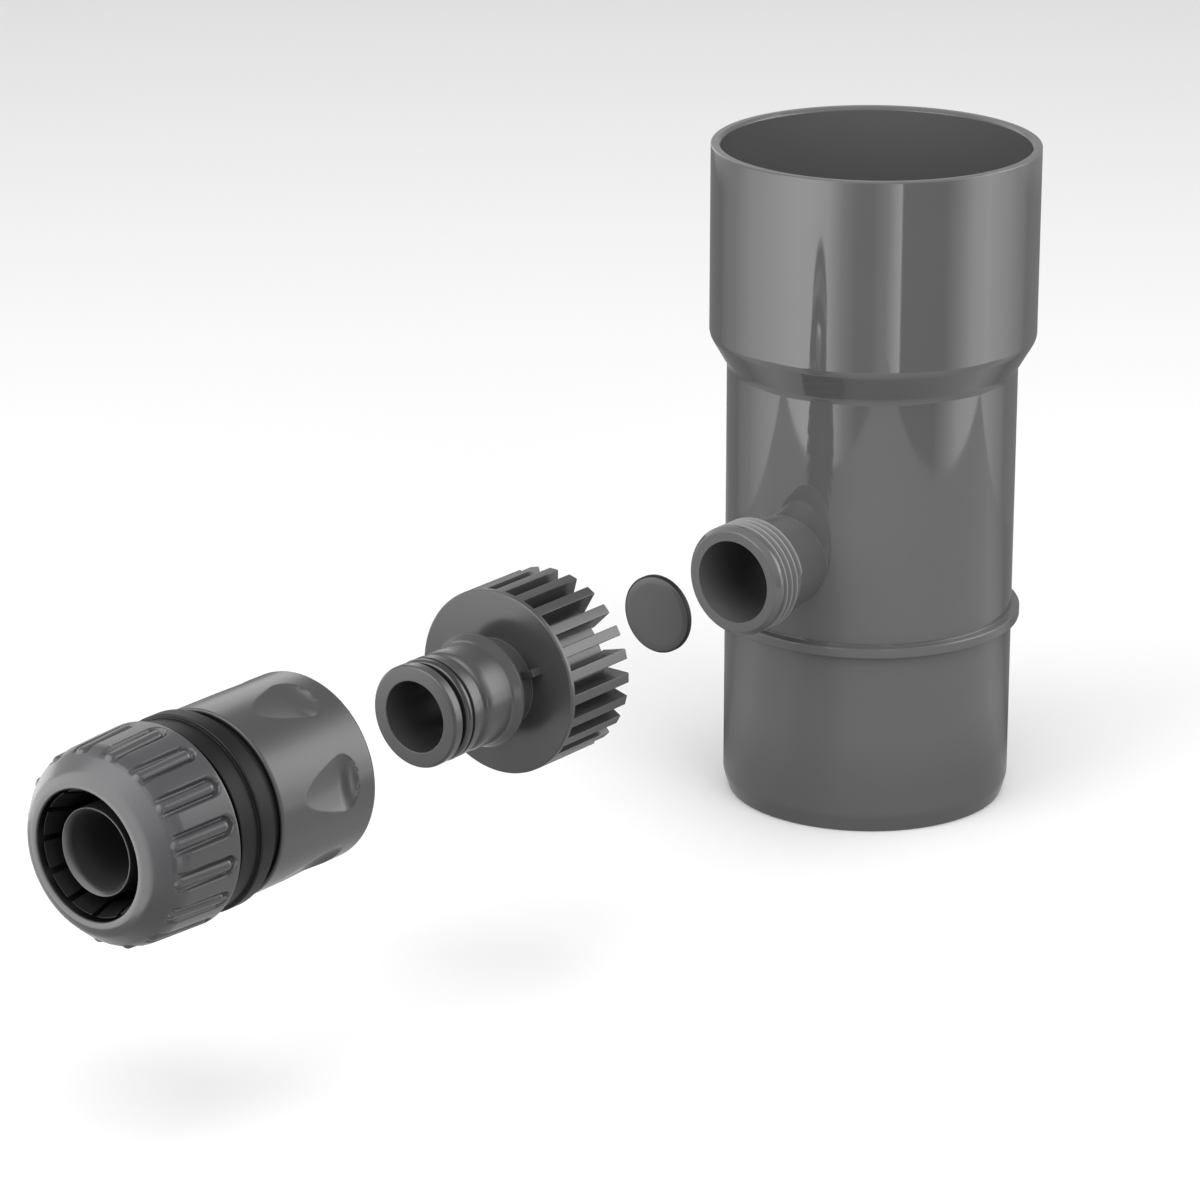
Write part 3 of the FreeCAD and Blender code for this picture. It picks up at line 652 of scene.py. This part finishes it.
# %% [markdown]
# ## The clamping nut
# The nut is a smooth rounded cone with sixteen grip bars. Each bar is a round pill that lies in a
# shallow pocket, and its tip stands proud over the shoulder. A relief function gives the skin's
# radius at each place: the turned shape, the pocket's floor or the pill, whichever counts there.
# The floor keeps its own radius, so the pocket runs out by itself where the shoulder falls below
# it. Close rows and columns of vertices carry the relief, and the pocket's walls are soft steps.

# %% Nut
NUT_S, LAND_END, NUT_END = 53.5, 73.6, 80.8
BARS, BAR_FIRST, BAR_R = 16, math.radians(-7), 1.9
BAR_REAR, BAR_FRONT = NUT_S + 4.3, NUT_S + 20.0
AXIS_REAR, AXIS_FRONT = 25.3, 24.25
POCKET_HALF, POCKET_EDGE = 2.6, 0.4
FLOOR_REAR, FLOOR_FRONT = 25.5, 25.0
SKIN_REAR, SKIN_FRONT = 24.0, 21.0


def soft_step(value, low, high):
    """Runs from 0 at low to 1 at high, level at both ends."""
    share = min(max((value - low) / (high - low), 0.0), 1.0)
    return share * share * (3 - 2 * share)


def gripped(radius, height, angle):
    """The nut's skin. Vertices inside the nut, and those of its rear face, stay as they are."""
    if radius < (SKIN_FRONT if height > LAND_END else SKIN_REAR) or height < NUT_S + 0.3:
        return radius, height
    step = TURN / BARS
    off = ((angle - BAR_FIRST + step / 2) % step - step / 2) * radius
    share = min(max((height - BAR_REAR) / (BAR_FRONT - BAR_REAR), 0.0), 1.0)
    middle = AXIS_REAR + (AXIS_FRONT - AXIS_REAR) * share
    floor = min(radius, FLOOR_REAR + (FLOOR_FRONT - FLOOR_REAR) * share)
    behind = max(BAR_REAR - height, 0.0)
    wall = soft_step(math.hypot(off, behind), POCKET_HALF - POCKET_EDGE, POCKET_HALF + POCKET_EDGE)
    skin = floor + (radius - floor) * wall
    near = math.hypot(off, behind + max(height - BAR_FRONT, 0.0))
    if near < BAR_R:
        skin = max(skin, middle + math.sqrt(BAR_R ** 2 - near ** 2))
    return skin, height


nut_profile = [
    (22.6, NUT_S, 0.2), (27.1, NUT_S, 0.5), (26.2, LAND_END, 2.6), (22.4, 78.3, 1.3),
    (21.1, 79.75, 0.7), (18.8, NUT_END, 0.6), (17.5, 80.65, 0.25), (17.2, 80.2, 0.2),
    (17.2, 79.9, 0.1), (19.4, 78.0), (20.6, 68.0), (22.6, 67.0),
]
nut = turned("clamping_nut", nut_profile, CONNECTOR, steps=720, zone=(NUT_S + 0.4, 79.6, 20.9),
             spacing=0.3, relief=gripped, crease=50)
dress(nut, nut_grey, "connector_plastic", "nut", "clamp_nut")

# %% [markdown]
# ## Pieces kept from the CAD model
# The gasket, the claws, the spring and the small seal at the tail sit inside. Their CAD shape is
# already right, so they only get their materials.

# %% Hidden pieces
for name, material in {"adapter_gasket": rubber, "tail_o_ring": rubber, "claw_ring": acetal,
                       "collar_spring": drawn_wire}.items():
    nodes[name].data.materials.clear()
    nodes[name].data.materials.append(material)
    print(name, "gets", material.name)

# %% [markdown]
# ## Floor
# A white floor, as for a catalogue picture. It throws no light back up, because in the photograph
# the object's underside stays as dark as its sides.

# %% Floor
def staged(name, shape, material):
    """Makes a piece of the studio, which is no part of the object."""
    mesh = bpy.data.meshes.new(name)
    shape.to_mesh(mesh)
    shape.free()
    mesh.materials.append(material)
    thing = bpy.data.objects.new(name, mesh)
    bpy.context.scene.collection.objects.link(thing)
    print(name, len(mesh.polygons), "faces")
    return thing


floor_paint = bpy.data.materials.new("floor_matt_white")
floor_paint.use_nodes = True
floor_shader = floor_paint.node_tree.nodes["Principled BSDF"]
floor_shader.inputs["Base Color"].default_value = linear("#f2f2f2")
floor_shader.inputs["Roughness"].default_value = 0.9
floor_shape = bmesh.new()
bmesh.ops.create_grid(floor_shape, x_segments=1, y_segments=1, size=5.0)
floor = staged("studio_floor", floor_shape, floor_paint)
floor.visible_diffuse = False

# %% [markdown]
# ## Room and softboxes
# A bright even room, a large softbox overhead and two smaller ones in front and at the right. The
# overhead one would draw a hard white line on every edge that faces up, so mirrors don't see it.

# %% Room
ROOM_LEVEL = 0.50
world = bpy.data.worlds.new("white_room")
world.use_nodes = True
world.node_tree.nodes["Background"].inputs["Color"].default_value = linear("#ffffff")
world.node_tree.nodes["Background"].inputs["Strength"].default_value = ROOM_LEVEL
bpy.context.scene.world = world


def softbox(name, place, aim, size, energy, mirrored=True):
    """A round lamp of this size in metres and energy in watts, turned towards aim."""
    data = bpy.data.lights.new(name, "AREA")
    data.shape = "DISK"
    data.size = size
    data.energy = energy
    box = bpy.data.objects.new(name, data)
    box.location = place
    box.rotation_euler = (Vector(place) - Vector(aim)).to_track_quat("Z", "Y").to_euler()
    box.visible_glossy = mirrored
    bpy.context.scene.collection.objects.link(box)
    print(name, energy, "W")


softbox("softbox_overhead", (0.35, -0.35, 1.7), (0.0, -0.1, 0.0), 2.2, 24.0, mirrored=False)
softbox("softbox_front_left", (-0.5, -1.7, 0.9), (0.0, -0.15, 0.08), 1.4, 14.0)
softbox("softbox_right", (1.7, -0.6, 0.9), (0.0, -0.1, 0.08), 1.4, 12.0)

# %% [markdown]
# ## How bright the screen of light is
# Glossy plastic shows what stands round it. In a studio that is a ring of white and black panels,
# so a box with bright and dark zones stands round the object, and only reflections see it. Each
# table gives the light's level by the direction from the pipe, in degrees to the right of the
# camera. The low zone makes the tall bands on the pipe, and the two higher zones make the
# highlights along the row. The floor inside the box is dark near the foot, towards the row and
# behind the object. Near the foot and towards the row this is painted shade, which stands in for
# the shadows of the foot and the row as the reflections would show them.

# %% Tables of the screen
CAMERA_TURN = math.radians(38.04)
MID_FROM, TOP_FROM = 0.13, 0.4
LOW_GLOW = [
    (-180, 0.25), (-130, 0.25), (-109, 0.9), (-93, 2.1), (-78, 3.1), (-66, 3.8), (-55, 4.3),
    (-45, 4.3), (-34, 3.7), (-24, 1.4), (-15, 0.35), (-5, 0.3), (5, 1.3), (14, 4.2), (15, 0.25),
    (44, 0.3), (54, 1.5), (65, 3.1), (78, 3.4), (92, 2.3), (107, 1.1), (120, 0.4), (150, 0.25),
    (180, 0.25),
]
MID_GLOW = [
    (-180, 0.5), (-160, 0.7), (-144, 1.9), (-130, 1.6), (-100, 0.6), (-75, 1.5), (-60, 4.0),
    (-38, 4.0), (-28, 2.5), (-14, 0.5), (30, 0.5), (55, 2.0), (66, 4.6), (95, 4.6), (110, 2.4),
    (125, 0.8), (150, 0.4), (180, 0.5),
]
TOP_GLOW = [
    (-180, 0.4), (-164, 0.7), (-144, 1.0), (-120, 0.5), (60, 0.5), (75, 2.5), (85, 3.6), (97, 3.2),
    (113, 1.8), (130, 0.5), (160, 0.3), (180, 0.4),
]
# The low floor levels near the foot, and from -46 to -30 degrees towards the row, are painted
# shade: they stand in for the shadows of the foot and the row.
FLOOR_GLOW_AND_SHADE_BY_RADIUS = [(0.0, 0.3), (0.07, 0.45), (0.12, 0.95), (0.2, 1.1), (1.0, 1.1)]
FLOOR_GLOW_AND_SHADE_BY_SIDE = [
    (-180, 0.4), (-150, 0.25), (-125, 0.25), (-95, 1.0), (-60, 1.0), (-46, 0.7), (-30, 0.7),
    (-16, 1.0), (100, 1.0), (125, 0.25), (150, 0.25), (180, 0.4),
]
facing = Vector((math.sin(CAMERA_TURN), -math.cos(CAMERA_TURN), 0))


def between(table, value):
    """Reads a table of (place, level) pairs, with straight lines between them."""
    for (a, low), (b, high) in zip(table, table[1:]):
        if a <= value <= b:
            return low + (high - low) * (value - a) / (b - a)


def glow_at(place, is_floor):
    """How bright the screen is at a place."""
    side = math.degrees(math.atan2(facing.cross(place).z, facing.dot(place)))
    if is_floor:
        return between(FLOOR_GLOW_AND_SHADE_BY_RADIUS, place.xy.length) * between(FLOOR_GLOW_AND_SHADE_BY_SIDE, side)
    table = TOP_GLOW if place.z > TOP_FROM else MID_GLOW if place.z > MID_FROM else LOW_GLOW
    return between(table, side)


# %% [markdown]
# ## The screen itself
# A fine grid for its floor, whose rim is pulled up row by row into walls. The rows end where the
# zones meet. The level is kept on the corners of the faces, so that two zones can meet in a hard
# edge, and the material reads it as the strength of its light.

# %% Screen of light
SCREEN_LOW, SCREEN_HIGH, SCREEN_Z, SCREEN_CELLS = (-0.30, -0.40), (0.39, 0.28), 0.0004, 240
SCREEN_ROWS = (0.12, 0.03, 0.23, 0.22)

glow_paint = bpy.data.materials.new("screen_glow")
glow_paint.use_nodes = True
glow_tree = glow_paint.node_tree
glow_tree.nodes.remove(glow_tree.nodes["Principled BSDF"])
glow_level = add_node(glow_paint, "ShaderNodeAttribute", {"attribute_name": "glow"})
glow_light = add_node(glow_paint, "ShaderNodeEmission", links={"Strength": (glow_level, "Fac")})
glow_tree.links.new(glow_light.outputs[0], glow_tree.nodes["Material Output"].inputs[0])

screen_shape = bmesh.new()
bmesh.ops.create_grid(screen_shape, x_segments=SCREEN_CELLS, y_segments=SCREEN_CELLS, size=0.5)
for vert in screen_shape.verts:
    across, deep = [low + (high - low) * (share + 0.5)
                    for low, high, share in zip(SCREEN_LOW, SCREEN_HIGH, vert.co)]
    vert.co = (across, deep, SCREEN_Z)
rim = [edge for edge in screen_shape.edges if edge.is_boundary]
for height in SCREEN_ROWS:
    walls = bmesh.ops.extrude_edge_only(screen_shape, edges=rim)["geom"]
    fresh = of_kind(walls, bmesh.types.BMVert)
    rim = edges_within(walls, fresh)
    bmesh.ops.translate(screen_shape, verts=fresh, vec=(0, 0, height))
screen = staged("light_screen", screen_shape, glow_paint)
glow = screen.data.attributes.new("glow", "FLOAT", "CORNER")
for face in screen.data.polygons:
    for corner in face.loop_indices:
        place = screen.data.vertices[screen.data.loops[corner].vertex_index].co
        glow.data[corner].value = glow_at(place, face.normal.z ** 2 > 0.5)
screen.visible_camera = False
screen.visible_diffuse = False
screen.visible_shadow = False

# %% [markdown]
# ## Camera
# Where the photograph was taken from was worked out from the ellipses of its round edges: 38
# degrees round from the outlet's axis, looking down by 19 degrees through a long lens.

# %% Camera
CAMERA_DOWN = 18.93
camera_data = bpy.data.cameras.new("camera")
camera_data.lens = 144.51
camera_data.sensor_width = 36.0
camera = bpy.data.objects.new("camera", camera_data)
camera.location = (0.78069, -1.12846, 0.52821)
camera.rotation_euler = (math.radians(90 - CAMERA_DOWN), 0, CAMERA_TURN)
bpy.context.scene.collection.objects.link(camera)
bpy.context.scene.camera = camera
bpy.context.scene.view_settings.view_transform = "Standard"
print("camera", round(camera.location.length, 2), "m from the pipe's foot")
